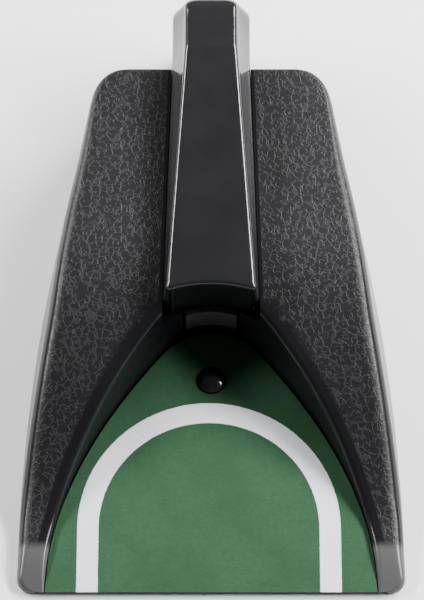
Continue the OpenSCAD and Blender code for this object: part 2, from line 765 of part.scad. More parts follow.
module gearbox_outline() {
    polygon([[143, floor_z + 0.2], [212, floor_z + 0.2], [240, 5], [240, 36], [200, 50], [150, 50],
        [143, 42]]);
}

module gearbox_plate(x0, right) {
    difference() {
        plate_x(x0, box_t) gearbox_outline();
        at_axle(cam_axis) rod_x(x0 - 1, x0 + box_t + 1, cam_axle_r + run_fit);
        at_axle(second_axis) rod_x(x0 - 1, x0 + box_t + 1, axle_r);
        at_axle(first_axis) rod_x(x0 - 1, x0 + box_t + 1, axle_r);
        for (p = posts) at_axle(p) rod_x(x0 - 1, x0 + box_t + 1, 1.6);
        if (right) {
            at_axle(motor_axis) rod_x(x0 - 1, x0 + box_t + 1, 3.6);
            at_axle(motor_axis) for (s = [-1, 1]) translate([0, s * 6.5, 0])
                rod_x(x0 - 1, x0 + box_t + 1, 0.9);
        }
    }
}

module gearbox_left_plate() {
    color(steel) place() gearbox_plate(-plate_x0 - box_t, false);
}

module gearbox_right_plate() {
    color(steel) place() gearbox_plate(plate_x0, true);
}

module gearbox_posts() {
    color(brass) place() for (p = posts) at_axle(p) difference() {
        rod_x(-plate_x0, plate_x0, 2.6);
        for (s = [-1, 1]) translate([s * (plate_x0 - 4), 0, 0]) rod_x(-5, 5, screw_r);
    }
}

module gearbox_screws() {
    color(steel) place() for (p = posts, s = [-1, 1]) at_axle(p)
        translate([s * (plate_x0 + box_t + 1.2), 0, 0]) rotate([0, -90 * s, 0])
            screw(2.6, 1.2, screw_r, 8);
}

// ---------- electronics ----------

module circuit_board() {
    color([0.1, 0.35, 0.2]) place() difference() {
        translate([22, 148, floor_z + 4.5]) cube([28, 52, 1.6]);
        for (x = [26, 46], y = [152, 196]) translate([x, y, 0]) cylinder(r = 1, h = 12);
    }
}

module board_parts() {
    z = floor_z + 6.1;
    color([0.12, 0.12, 0.13]) place() {
        translate([28, 160, z]) cube([10, 4, 4]);
        translate([30, 172, z]) cube([8, 10, 2]);
    }
    color([0.15, 0.2, 0.45]) place() {
        translate([43, 164, z]) cylinder(r = 3.2, h = 9);
        translate([43, 180, z]) cylinder(r = 2.5, h = 7);
    }
}

// Leads held inside the case: battery, motor and switch to the board
battery_lead = [[-43.5, 239.7, 12], [-42, 243, 14], [-34, 246, 15], [-20, 247.5, 16], [0, 248, 16],
    [20, 247, 15], [34, 242.5, 14], [45, 235, 13.5], [50, 226, 13], [52, 214, 12], [50, 205, 10.5],
    [47, 200.5, 9.8], [44, 198, 9.5]];
motor_lead = [[42.6, 228.4, 21], [46, 227, 21], [48.5, 222, 19.5], [49, 214, 17], [46, 206, 14],
    [42, 202, 11], [38, 198, 9.5]];
switch_lead = [[6.3, 121, 3.6], [11, 122, 3.7], [16, 124, 3.9], [20, 127.5, 4], [23, 132, 4.3],
    [25, 138, 6], [26, 144, 9.2], [28, 150, 10], [30, 154, 9.5]];
leads = [battery_lead, motor_lead, switch_lead];

module wires() {
    color([0.7, 0.12, 0.1]) place() for (lead = leads) tube(lead, wire_r, 8, [0, 0, 1]);
}

// ---------- bottom fittings ----------

module tail_cap() {
    z0 = edge_z;
    color(black) place() difference() {
        translate([0, 0, z0]) linear_extrude(3) polygon([
            for (p = level_half(0, spine_wall + 0.3, tail_y, 0)) if (p[1] > tail_y) [p[0], max(p[1], tail_y + 2.6)],
            for (i = [len(level_half(0, 0, tail_y, 0)) - 1:-1:0])
                let (p = level_half(0, spine_wall + 0.3, tail_y, 0)[i]) if (p[1] > tail_y) [-p[0], max(p[1], tail_y + 2.6)]]);
        for (x = tail_posts) translate([x, tail_post_y, 0]) {
            cylinder(r = 1.4, h = 6);
            cylinder(r = 2.6, h = 2.4);
        }
    }
}

module tail_screws() {
    color(steel) place() for (x = tail_posts) translate([x, tail_post_y, 1]) screw(2.3, 1.4, screw_r, 13);
}

module case_screws() {
    color(steel) place() for (p = case_posts) translate([p[0], p[1], 0.1])
        difference() {
            screw(2.8, 0.9, screw_r, 11);
            translate([-2, -0.3, -0.1]) cube([4, 0.6, 0.6]);
        }
}

module rubber_feet() {
    color(rubber) place() {
        for (p = feet) translate([p[0], p[1], 0]) {
            cylinder(r = 4, h = foot_h);
            cylinder(r = 2.5, h = foot_h + 0.6);
        }
        translate([0, tail_post_y + 9, 0]) cylinder(r = 4, h = edge_z);
    }
}

module front_grip_strip() {
    color(rubber) place() translate([-60, 8, 0]) cube([120, 8, 1.2]);
}

upper_case();
spine_cover();
ramp_plate();
felt_mat();
base_plate();
battery_door();
battery_tray();
batteries();
battery_contacts();
trigger_button();
trigger_spring();
switch_body();
switch_lever();
ejector_carriage();
ejector_pad();
ejector_pin();
ejector_spring();
spring_bracket();
cam_wheel();
cam_gear();
cam_axle();
second_gear();
second_axle();
first_gear();
first_axle();
motor_can();
motor_end_cap();
motor_rotor();
motor_pinion();
motor_screws();
gearbox_left_plate();
gearbox_right_plate();
gearbox_posts();
gearbox_screws();
circuit_board();
board_parts();
wires();
tail_cap();
tail_screws();
case_screws();
rubber_feet();
front_grip_strip();
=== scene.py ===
import json
import math
import bpy
import bmesh
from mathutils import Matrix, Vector, noise
from mathutils.geometry import delaunay_2d_cdt

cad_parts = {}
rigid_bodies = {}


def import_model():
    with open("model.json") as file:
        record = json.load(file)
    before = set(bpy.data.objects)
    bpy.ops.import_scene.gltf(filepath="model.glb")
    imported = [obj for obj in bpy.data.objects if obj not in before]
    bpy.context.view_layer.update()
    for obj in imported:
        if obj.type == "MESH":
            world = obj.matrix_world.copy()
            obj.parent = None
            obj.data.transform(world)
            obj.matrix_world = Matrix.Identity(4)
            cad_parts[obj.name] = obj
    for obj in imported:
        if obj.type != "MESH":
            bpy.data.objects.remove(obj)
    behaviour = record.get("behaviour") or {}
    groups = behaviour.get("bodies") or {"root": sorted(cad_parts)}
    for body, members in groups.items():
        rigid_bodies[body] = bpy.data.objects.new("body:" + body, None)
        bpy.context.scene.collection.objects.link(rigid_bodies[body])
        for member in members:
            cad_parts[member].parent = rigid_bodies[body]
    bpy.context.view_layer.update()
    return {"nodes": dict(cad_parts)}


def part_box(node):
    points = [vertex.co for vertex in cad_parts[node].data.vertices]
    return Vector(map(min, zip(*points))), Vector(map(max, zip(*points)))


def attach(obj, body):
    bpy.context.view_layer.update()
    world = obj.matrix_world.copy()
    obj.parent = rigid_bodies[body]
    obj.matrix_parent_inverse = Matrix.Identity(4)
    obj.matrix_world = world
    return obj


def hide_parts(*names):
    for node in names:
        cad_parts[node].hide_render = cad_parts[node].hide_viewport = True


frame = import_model()

# ---------- frame: millimetres in this script, y measured from the front edge ----------

MM = 0.001
FRONT_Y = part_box("upper_case")[0].y
BODY_W = (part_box("upper_case")[1].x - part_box("upper_case")[0].x) / MM
BODY_L = (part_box("upper_case")[1].y - FRONT_Y) / MM
TOTAL_L = (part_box("spine_cover")[1].y - FRONT_Y) / MM
BODY_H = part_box("upper_case")[1].z / MM
SPINE_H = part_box("spine_cover")[1].z / MM
BUTTON_BOX = [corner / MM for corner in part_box("trigger_button")]
BUTTON_Y = (BUTTON_BOX[0].y + BUTTON_BOX[1].y) / 2 - FRONT_Y / MM

# Outline and heights of the case, as in the part
NOSE_H = 8.0
LIP_H = 3.0
SIDE_CURVE = 8.5
CURVE_Y = 138.0
CURVE_P = 2.2
NOSE_L = 26.0
RISE_START = 28.0
RISE_L = 132.0
RISE_P = 0.82
EDGE_Z = 0.8
WALL = 2.4
LIP_SHARE = 0.35
FRONT_R = 7.0
REAR_R = 22.0
SHOULDER = 8.0
REAR_SHOULDER = 3.0
RIM_R = 3.0
SIDE_DRAFT = math.tan(math.radians(10))
REAR_DRAFT = math.tan(math.radians(2))
POCKET_DRAFT = math.tan(math.radians(8))
MIN_LEAN = 0.7

# Felt edge
FELT_HALF_W = 77.3
RAMP_L = 142.0
FELT_P = 1.9
ARC_X = 22.0
POCKET_R = 30.0
POCKET_H = 11.0
POCKET_CY = RAMP_L * (1 - ARC_X / FELT_HALF_W) ** (1 / FELT_P) - math.sqrt(POCKET_R ** 2 - ARC_X ** 2)
FELT_SLOPE = (POCKET_H - LIP_H) / (POCKET_CY + POCKET_R)
FELT_T = 0.6

# Spine
SPINE_REF_Y = 127.0
CREASE_Y = 255.0
SLOPE_Y = 277.0
SPINE_FRONT_H = 57.0
SPINE_TOP_FRONT = 21.5
SPINE_TOP_REAR = 13.0
SPINE_BASE_FRONT = 22.7
SPINE_BASE_REAR = 18.9
SPINE_Z0 = 33.2
KINK_RISE = 4.0
TAIL_DROP = 4.0
TAIL_ROUND = 6.5
TAIL_ROUND_L = TOTAL_L - 2 - SLOPE_Y
BASE_CORNER_R = 8.0
TOP_CORNER_R = 6.0
TAIL_FLARE = 0.8
TOP_R = 2.5
FRONT_WALL_Y = 132.6
FRONT_WALL_R = 65.0
FRONT_WALL_CY = FRONT_WALL_Y - FRONT_WALL_R
TAIL_Y = BODY_L + 0.5


def mix(a, b, t):
    return a + (b - a) * t


def clamp01(t):
    return min(1.0, max(0.0, t))


def ease(t):
    t = clamp01(t)
    return t * t * (3 - 2 * t)


def ramp01(value, low, high):
    """0 below low, 1 above high, smooth between."""
    return ease((value - low) / (high - low))


def metres(points):
    return [(x * MM, y * MM + FRONT_Y, z * MM) for x, y, z in points]


# ---------- meshes ----------

def mesh_object(name, points, faces, sharp_angle=None):
    """Mesh object in the shared frame from points in millimetres, with its normals outward."""
    mesh = bpy.data.meshes.new(name)
    mesh.from_pydata(metres(points), [], faces)
    clean(mesh, sharp_angle)
    made = bpy.data.objects.new(name, mesh)
    bpy.context.scene.collection.objects.link(made)
    return made


def clean(mesh, sharp_angle):
    """Merges points that coincide, turns normals outward and shades smooth up to sharp_angle."""
    work = bmesh.new()
    work.from_mesh(mesh)
    bmesh.ops.remove_doubles(work, verts=work.verts, dist=2e-6)
    bmesh.ops.dissolve_degenerate(work, edges=work.edges, dist=1e-6)
    bmesh.ops.recalc_face_normals(work, faces=work.faces)
    work.to_mesh(mesh)
    work.free()
    mesh.polygons.foreach_set("use_smooth", [True] * len(mesh.polygons))
    if sharp_angle is not None:
        mesh.set_sharp_from_angle(angle=math.radians(sharp_angle))
    mesh.update()


def apply_modifiers(target, sharp_angle):
    """Bakes the modifiers of an object into its mesh."""
    depsgraph = bpy.context.evaluated_depsgraph_get()
    baked = bpy.data.meshes.new_from_object(target.evaluated_get(depsgraph))
    target.modifiers.clear()
    target.data = baked
    clean(baked, sharp_angle)


def cut(target, cutters, sharp_angle):
    """Cuts closed solids out of a closed mesh and removes the cutters."""
    for cutter in cutters:
        modifier = target.modifiers.new(cutter.name, "BOOLEAN")
        modifier.operation = "DIFFERENCE"
        modifier.solver = "EXACT"
        modifier.object = cutter
    apply_modifiers(target, sharp_angle)
    for cutter in cutters:
        bpy.data.objects.remove(cutter)


def prism(name, outline, z_low, z_high):
    """Closed prism over a plan outline."""
    count = len(outline)
    points = [(x, y, z) for z in (z_low, z_high) for x, y in outline]
    sides = [(i, (i + 1) % count, count + (i + 1) % count, count + i) for i in range(count)]
    return mesh_object(name, points, sides + [tuple(range(count)), tuple(range(count, 2 * count))])


def finished(piece, node, material_slot):
    """A piece that stands for a CAD node, with its body, slot and material."""
    body = frame["nodes"][node].parent.name.split(":")[-1]
    piece.data.materials.clear()
    piece.data.materials.append(MATERIALS[material_slot])
    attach(piece, body)
    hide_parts(node)
    return piece


# ---------- outlines ----------

def top_z(y):
    nose = LIP_H + (NOSE_H - LIP_H) * math.sin(math.pi / 2 * clamp01(y / NOSE_L))
    return nose + (BODY_H - NOSE_H) * ease(clamp01((y - RISE_START) / RISE_L) ** RISE_P)


def half_w(y):
    return BODY_W / 2 - SIDE_CURVE * (max(0.0, y) / CURVE_Y) ** CURVE_P


def narrowing(y):
    return SIDE_CURVE * CURVE_P / CURVE_Y * (max(0.0, y) / CURVE_Y) ** (CURVE_P - 1)


def felt_z(y):
    return LIP_H + FELT_SLOPE * y


def felt_edge_y(x):
    if x < ARC_X:
        return POCKET_CY + math.sqrt(POCKET_R ** 2 - x * x)
    return RAMP_L * max(0.0, 1 - x / FELT_HALF_W) ** (1 / FELT_P)


def felt_edge_x(y):
    return FELT_HALF_W * (1 - (max(0.0, y) / RAMP_L) ** FELT_P)


def felt_normal(x):
    y = felt_edge_y(x)
    if x < ARC_X:
        return Vector((x, y - POCKET_CY)) / POCKET_R
    return Vector((1, FELT_P * FELT_HALF_W / RAMP_L * (y / RAMP_L) ** (FELT_P - 1))).normalized()


# Stations run from the front corner (0) along the side to the rear centre (LAST)
SIDE_FROM, SIDE_TO, CORNER_TO, LAST, LEG_END = 4, 26, 31, 35, 8
CORNER_TILT = math.atan(narrowing(BODY_L - REAR_R))
CORNER_Y = BODY_L - REAR_R + REAR_R * math.sin(CORNER_TILT)
CORNER_CX = half_w(CORNER_Y) - REAR_R * math.cos(CORNER_TILT)


def outer_at(i):
    """Point on the case's outline and its inward normal."""
    if i < SIDE_FROM:
        a = math.pi / 2 * i / SIDE_FROM
        x = BODY_W / 2 - FRONT_R + FRONT_R * math.sin(a)
        return Vector((x, FRONT_R - FRONT_R * math.cos(a))), Vector((-math.sin(a), math.cos(a)))
    if i <= SIDE_TO:
        y = mix(FRONT_R, CORNER_Y, (i - SIDE_FROM) / (SIDE_TO - SIDE_FROM))
        return Vector((half_w(y), y)), -Vector((1, narrowing(y))).normalized()
    if i <= CORNER_TO:
        a = mix(CORNER_TILT, math.pi / 2, (i - SIDE_TO) / (CORNER_TO - SIDE_TO))
        point = Vector((CORNER_CX + REAR_R * math.cos(a), BODY_L - REAR_R + REAR_R * math.sin(a)))
        return point, Vector((-math.cos(a), -math.sin(a)))
    return Vector((CORNER_CX * (LAST - i) / (LAST - CORNER_TO), BODY_L)), Vector((0, -1))


FAN_X = felt_edge_x(outer_at(LEG_END)[0].y)


def inner_at(i):
    """Matching point on the felt edge and the normal that points away from the felt."""
    if i <= LEG_END:
        y = outer_at(i)[0].y
        return Vector((felt_edge_x(y), y)), felt_normal(felt_edge_x(y))
    x = FAN_X * (1 - (i - LEG_END) / (LAST - LEG_END))
    return Vector((x, felt_edge_y(x))), felt_normal(x)


# ---------- case ----------

REAR_FROM = 23
REAR_TO = 30
ARC_STEPS = 10
TOP_STEPS = 14
WALL_STEPS = 3
BAND_STEPS = (2.9, 2.1, 0.8)


def section(i, skin):
    """Section of the case's skin from the outer edge over the top to the felt edge."""
    po, no = outer_at(i)
    pi, ni = inner_at(i)
    d = (pi - po).normalized()
    lo = d / max(MIN_LEAN, d.dot(no))
    li = -d / max(MIN_LEAN, -d.dot(ni))
    rear = ease((i - REAR_FROM) / (REAR_TO - REAR_FROM))
    r = min(mix(SHOULDER, REAR_SHOULDER, rear), 0.7 * top_z(po.y))
    q = min(RIM_R, 0.4 * top_z(pi.y))
    outer_rise = (top_z(po.y) - r - EDGE_Z) * mix(SIDE_DRAFT, REAR_DRAFT, rear)
    inner_rise = max(0.0, top_z(pi.y) - q - felt_z(pi.y)) * POCKET_DRAFT
    ro, ri = max(0.2, r - skin), max(0.2, q - skin)
    a0, b0 = po + lo * skin, pi + li * skin
    a1, b1 = a0 + lo * (outer_rise + ro), b0 + li * (inner_rise + ri)

    def shoulder_point(base, lean, rise, radius, step):
        a = math.pi / 2 * step / ARC_STEPS
        p = base + lean * (rise + radius * (1 - math.cos(a)))
        return p.x, p.y, top_z(p.y) - skin - radius * (1 - math.sin(a))

    def wall_rows(base, first):
        foot = (base.x, base.y, EDGE_Z)
        return [tuple(mix(foot[k], first[k], s / WALL_STEPS) for k in range(3)) for s in range(WALL_STEPS)]

    outer_arc = [shoulder_point(a0, lo, outer_rise, ro, s) for s in range(ARC_STEPS + 1)]
    inner_arc = [shoulder_point(b0, li, inner_rise, ri, s) for s in range(ARC_STEPS, -1, -1)]
    width = (b1 - a1).length
    shares = [s / TOP_STEPS * (1 - BAND_STEPS[0] / width) for s in range(1, TOP_STEPS)]
    shares += [1 - band / width for band in BAND_STEPS]
    top = [a1.lerp(b1, share) for share in shares]
    return (wall_rows(a0, outer_arc[0]) + outer_arc + [(p.x, p.y, top_z(p.y) - skin) for p in top]
            + inner_arc + wall_rows(b0, inner_arc[-1])[::-1])


def station_list():
    spans = ((0, SIDE_FROM, 12), (SIDE_FROM, SIDE_TO, 96), (SIDE_TO, CORNER_TO, 18), (CORNER_TO, LAST, 14))
    return [mix(a, b, s / n) for a, b, n in spans for s in range(n)] + [LAST]


def case_mesh():
    """Thin-walled shell of the case: both skins of each section, and the strips that join them."""
    rows = []
    for i in station_list():
        t = min(WALL, LIP_SHARE * (top_z(outer_at(i)[0].y) - EDGE_Z))
        rows.append(section(i, 0) + section(i, t)[::-1])
    left = [[(-x, y, z) for x, y, z in row] for row in rows]
    loops = left + rows[-2::-1]
    count, size = len(loops), len(loops[0])
    points = [p for loop in loops for p in loop]
    faces = []
    for a in range(count - 1):
        for j in range(size):
            k = (j + 1) % size
            faces.append((a * size + j, (a + 1) * size + j, (a + 1) * size + k, a * size + k))
    for start in (0, (count - 1) * size):
        for j in range(size // 2 - 1):
            faces.append((start + j, start + j + 1, start + size - 2 - j, start + size - 1 - j))
    return mesh_object("upper_case_shell", points, faces)


SLOT_Y0 = 118.0
SLOT_GAP = 0.3
WINDOW_HALF = 13.5
WINDOW_Z = (15.2, 31.6)
DOOR_X = (-52.9, -20.1)
DOOR_NOTCH_Z = 3.9
LEAD_X = (14.0, 24.0)
LEAD_Z = 5.2


def spine_base_w(y):
    return mix(SPINE_BASE_FRONT, SPINE_BASE_REAR, clamp01((y - SPINE_REF_Y) / (BODY_L - SPINE_REF_Y)))


def box_outline(x0, x1, y0, y1):
    return [(x0, y0), (x1, y0), (x1, y1), (x0, y1)]


def build_case():
    case = case_mesh()
    front, rear = spine_base_w(SPINE_REF_Y) + SLOT_GAP, spine_base_w(BODY_L) + SLOT_GAP
    past_rear = BODY_L + 10
    right = [(front, SLOT_Y0), (front, SPINE_REF_Y), (rear, BODY_L), (rear, past_rear)]
    slot = [(-front, SLOT_Y0)] + right + [(-x, y) for x, y in right[:0:-1]]
    cut(case, [
        prism("slot_cutter", slot, SPINE_Z0 - 0.2, SPINE_H + 10),
        prism("window_cutter", box_outline(-WINDOW_HALF, WINDOW_HALF, SLOT_Y0 + 2, SLOT_Y0 + 22), *WINDOW_Z),
        prism("door_cutter", box_outline(*DOOR_X, BODY_L - 16, BODY_L + 4), -1, DOOR_NOTCH_Z),
        prism("lead_cutter", box_outline(*LEAD_X, SLOT_Y0, SLOT_Y0 + 14), 0, LEAD_Z),
    ], 40)
    add_grain_mask(case)
    return finished(case, "upper_case", "textured_black")


def felt_distance(x, y):
    """Distance in plan from the felt edge, for points outside it; x is 0 or more."""
    if y >= felt_edge_y(ARC_X) or x < ARC_X:
        return math.hypot(x, y - POCKET_CY) - POCKET_R
    edge_x = felt_edge_x(y)
    return (x - edge_x) * felt_normal(min(x, edge_x)).x


def add_grain_mask(case):
    """Point attribute "grain": 1 where the moulded grain is, 0 on the smooth rim and lower sides."""
    values = []
    for vertex in case.data.vertices:
        x, y, z = abs(vertex.co.x / MM), (vertex.co.y - FRONT_Y) / MM, vertex.co.z / MM
        top = top_z(y)
        q = min(RIM_R, 0.4 * top)
        rim = q + max(0.0, top - q - felt_z(min(y, POCKET_CY + POCKET_R))) * POCKET_DRAFT
        from_rim = ramp01(felt_distance(x, y) - rim, 2.0, 2.9)
        over_shoulder = ramp01((z - top) / min(SHOULDER, 0.7 * top), -0.2, -0.06)
        values.append(from_rim * over_shoulder)
    mask = case.data.attributes.new("grain", "FLOAT", "POINT")
    mask.data.foreach_set("value", values)


# ---------- spine ----------

LIP_R = 1.8
BLEND_Y = 150.0
CREASE_SOFT = 1.6
CORNER_STEPS = 12
LIP_STEPS = 6
FRONT_ROWS = 6
ACROSS_STEPS = 20
SHELL_T = 1.6
BLEND_ROWS = 8
BACK_ROWS = 12
CREASE_LEAD = 4
CREASE_STEP = 0.45
CREASE_ROWS = 11
TAIL_STEP = 0.1
TAIL_LEAD = 0.6
TAIL_ROWS = 10


def spine_top_w(y):
    share = (min(y, CREASE_Y) - SPINE_REF_Y) / (CREASE_Y - SPINE_REF_Y)
    return mix(SPINE_TOP_FRONT, SPINE_TOP_REAR, share)


def spine_top_z(y):
    rise = (SPINE_H - SPINE_FRONT_H) / (CREASE_Y - SPINE_REF_Y)
    drop = -TAIL_DROP / (SLOPE_Y - CREASE_Y)
    if y < SLOPE_Y:
        soft = clamp01((y - CREASE_Y + CREASE_SOFT) / (2 * CREASE_SOFT))
        bend = (drop - rise) * CREASE_SOFT * soft * soft
        past = max(0.0, y - CREASE_Y - CREASE_SOFT)
        return SPINE_H + rise * (y - CREASE_Y) + bend + (drop - rise) * past
    fall = 1 - math.sqrt(max(0.0, 1 - ((y - SLOPE_Y) / TAIL_ROUND_L) ** 2))
    return SPINE_H - TAIL_DROP - TAIL_ROUND * fall


def spine_point(u, y):
    """Point of the wall: u is 0 at the bottom, 1 at the case's top, 2 at the top edge, 3 on top."""
    bottom = EDGE_Z if y > TAIL_Y else SPINE_Z0
    kink = max(top_z(y), SPINE_Z0 + KINK_RISE)
    base, top = spine_base_w(y), spine_top_w(y)
    if u <= 1:
        flare = TAIL_FLARE if y > BODY_L else 0.0
        return Vector((base + flare * (1 - u), y, mix(bottom, kink, u)))
    if u <= 2:
        return Vector((mix(base, top, u - 1), y, mix(kink, spine_top_z(y) - TOP_R, u - 1)))
    a = math.pi / 2 * (u - 2)
    return Vector((top - TOP_R * (1 - math.cos(a)), y, spine_top_z(y) - TOP_R * (1 - math.sin(a))))


def rear_end(u):
    """How far back a level reaches and the radius of its rear corner."""
    if u <= 1:
        return TOTAL_L - u, BASE_CORNER_R
    inset = TOP_R * (1 - math.cos(math.pi / 2 * max(0.0, u - 2)))
    share = min(1, u - 1)
    return TOTAL_L - mix(1, 2, share) - inset, mix(BASE_CORNER_R, TOP_CORNER_R, share)


def front_start(u):
    """Where a level meets the concave front wall."""
    y = SPINE_REF_Y
    for _ in range(8):
        x = spine_point(u, y).x
        y = FRONT_WALL_CY + math.sqrt(FRONT_WALL_R ** 2 - x * x)
    return y


def wall_normal(u, y):
    step = 0.02
    along = spine_point(u, y + step) - spine_point(u, y - step)
    up = spine_point(min(3, u + step), y) - spine_point(u - step if u > step else 0, y)
    return along.cross(up).normalized()


def lip_points(edge, normal):
    """Rolled edge between the spine's surface and its front wall, then the wall down to its foot."""
    front = -Vector((edge.x, edge.y - FRONT_WALL_CY, 0)) / FRONT_WALL_R
    centre = edge - LIP_R * (normal + front) / (1 + normal.dot(front))
    rolled = [centre + LIP_R * normal.slerp(front, s / LIP_STEPS) for s in range(LIP_STEPS + 1)]
    foot = rolled[-1].copy()
    foot.z = SPINE_Z0
    rows = [rolled[-1].lerp(foot, ease(s / FRONT_ROWS)) for s in range(1, FRONT_ROWS + 1)]
    return rolled[::-1], rows[::-1]


def level_loop(u):
    """Right-hand line of one level: front wall, rolled lip, side and rear corner."""
    y0 = front_start(u)
    rolled, wall = lip_points(spine_point(u, y0), wall_normal(u, y0))
    line = wall + rolled
    start = rolled[-1].y
    crease_from = CREASE_Y - CREASE_LEAD
    line += [spine_point(u, mix(start, BLEND_Y, s / BLEND_ROWS)) for s in range(1, BLEND_ROWS + 1)]
    line += [spine_point(u, mix(BLEND_Y, crease_from, s / BACK_ROWS)) for s in range(1, BACK_ROWS + 1)]
    line += [spine_point(u, crease_from + CREASE_STEP * s) for s in range(1, CREASE_ROWS + 1)]
    line += [spine_point(u, y) for y in (TAIL_Y - TAIL_STEP, TAIL_Y + TAIL_STEP)]
    rear, r = rear_end(u)
    yc = rear - r
    line += [spine_point(u, mix(TAIL_Y + TAIL_LEAD, yc, s / TAIL_ROWS)) for s in range(TAIL_ROWS)]
    xs = spine_point(u, yc).x
    for s in range(CORNER_STEPS + 1):
        a = math.pi / 2 * s / CORNER_STEPS
        p = spine_point(u, yc + r * math.sin(a))
        line.append(Vector((xs - r + r * math.cos(a), p.y, p.z)))
    return line


def cap_line(line, c):
    """Line across the top at a share c of its width, from the concave front to the rear."""
    made = []
    front_n = FRONT_ROWS + LIP_STEPS + 1
    x_edge = line[front_n - 1].x * c
    x_sharp = spine_point(3, front_start(3)).x * c
    y_sharp = FRONT_WALL_CY + math.sqrt(FRONT_WALL_R ** 2 - x_sharp ** 2)
    step = 0.02
    slope = (spine_top_z(y_sharp + step) - spine_top_z(y_sharp - step)) / (2 * step)
    edge = Vector((x_sharp, y_sharp, spine_top_z(y_sharp)))
    rolled, wall = lip_points(edge, Vector((0, -slope, 1)).normalized())
    made += wall + rolled
    start, own = rolled[-1].y, line[front_n - 1].y
    for p in line[front_n:]:
        y = mix(start, BLEND_Y, (p.y - own) / (BLEND_Y - own)) if p.y < BLEND_Y else p.y
        z = spine_top_z(y) if p.y < BLEND_Y else p.z
        made.append(Vector((mix(x_edge, p.x * c, clamp01((p.y - own) / 8)), y, z)))
    return made


def build_spine():
    levels = [0, 0.5, 0.9, 1, 1.1, 1.4, 1.7, 1.9] + [2 + s / 8 for s in range(9)]
    right = [level_loop(u) for u in levels]
    shares = [1 - 2 * s / ACROSS_STEPS for s in range(1, ACROSS_STEPS)]
    across = [cap_line(right[-1], c) for c in shares]
    left = [[Vector((-p.x, p.y, p.z)) for p in line] for line in reversed(right)]
    lines = right + across + left
    count, size = len(lines), len(lines[0])
    points = [tuple(p) for line in lines for p in line]
    faces = [(a * size + j, (a + 1) * size + j, (a + 1) * size + j + 1, a * size + j + 1)
             for a in range(count - 1) for j in range(size - 1)]
    # The flat rear wall joins the two sides, level by level
    for a in range(len(levels) - 1):
        mirror = count - 1 - a
        faces.append(tuple(row * size - 1 for row in (a + 1, a + 2, mirror, mirror + 1)))
    spine = mesh_object("spine_cover_shell", points, faces)
    shell = spine.modifiers.new("shell", "SOLIDIFY")
    shell.thickness = SHELL_T * MM
    shell.offset = -1
    apply_modifiers(spine, 32)
    return finished(spine, "spine_cover", "gloss_black")


# ---------- felt ----------

FELT_INSET = 0.35
FELT_HOLE_R = 7.2
FELT_GRID = 3.0
FELT_WAVE = 0.08
FELT_WAVE_L = 14
FELT_EDGE_SINK = 0.12
ROW_SHARE = 0.94
CORNER_CLEAR = 2
REAR_CLEAR = 2.2
SIDE_CLEAR = 1.6
HOLE_CLEAR = 1.2
HOLE_STEPS = 56


def felt_outline():
    steps = 60
    half = []
    for s in range(steps + 1):
        x = FELT_HALF_W * (1 - s / steps)
        p = Vector((x, felt_edge_y(x))) - FELT_INSET * felt_normal(x)
        half.append((max(0.0, p.x), max(0.0, p.y)))
    return half + [(-x, y) for x, y in half[-2::-1]]


def ring(centre_y, radius, count):
    turns = [2 * math.pi * s / count for s in range(count)]
    return [(radius * math.cos(a), centre_y + radius * math.sin(a)) for a in turns]


def felt_grid(hole_y):
    """Points inside the felt, clear of its edge and of the button's hole."""
    made = []
    rows = int(RAMP_L / FELT_GRID)
    columns = int(FELT_HALF_W / FELT_GRID) + 1
    for j in range(1, rows):
        for i in range(-columns, columns + 1):
            x, y = (i + 0.5 * (j % 2)) * FELT_GRID, j * FELT_GRID * ROW_SHARE
            if abs(x) >= FELT_HALF_W - CORNER_CLEAR or y >= felt_edge_y(abs(x)) - REAR_CLEAR:
                continue
            off_hole = math.hypot(x, y - hole_y) > FELT_HOLE_R + HOLE_CLEAR
            if off_hole and abs(x) < felt_edge_x(y) - SIDE_CLEAR:
                made.append((x, y))
    return made


def build_felt():
    edge = felt_outline()
    hole = ring(BUTTON_Y, FELT_HOLE_R, HOLE_STEPS)
    inner = felt_grid(BUTTON_Y)
    loops = [list(range(len(edge))), list(range(len(edge), len(edge) + len(hole)))]
    lines = [(loop[k], loop[(k + 1) % len(loop)]) for loop in loops for k in range(len(loop))]
    flat = [Vector(p) for p in edge + hole + inner]
    verts, _, faces, _, _, _ = delaunay_2d_cdt(flat, lines, [], 0, 1e-5, True)

    def in_felt(face):
        x = sum(verts[k].x for k in face) / len(face)
        y = sum(verts[k].y for k in face) / len(face)
        beyond = y > felt_edge_y(abs(x)) or y < 0
        return math.hypot(x, y - BUTTON_Y) > FELT_HOLE_R * 0.97 and not beyond

    kept = [tuple(face) for face in faces if in_felt(face)]
    border = len(edge) + len(hole)

    def surface(k, p):
        if k < border:
            return p.x, p.y, felt_z(p.y) - FELT_EDGE_SINK
        wave = FELT_WAVE * noise.noise(Vector((p.x / FELT_WAVE_L, p.y / FELT_WAVE_L, 0.5)))
        return p.x, p.y, felt_z(p.y) + wave

    top = [surface(k, p) for k, p in enumerate(verts)]
    low = [(x, y, z - FELT_T + 0.1) for x, y, z in top]
    size = len(top)
    under = [tuple(size + k for k in reversed(face)) for face in kept]
    used = {}
    for face in kept:
        for k in range(3):
            used[(face[k], face[(k + 1) % 3])] = True
    sides = [(a, b, size + b, size + a) for a, b in used if (b, a) not in used]
    felt = mesh_object("felt_mat_sheet", top + low, kept + under + sides, 50)
    finished(felt, "felt_mat", "green_felt")
    return felt


# ---------- button ----------

DOME_R = 9.5
BUTTON_R = 6.6
FLANGE_T = 1.0
CAP_EDGE = 0.5
FLANGE_EDGE = 0.3
STEM_FOOT = 0.4


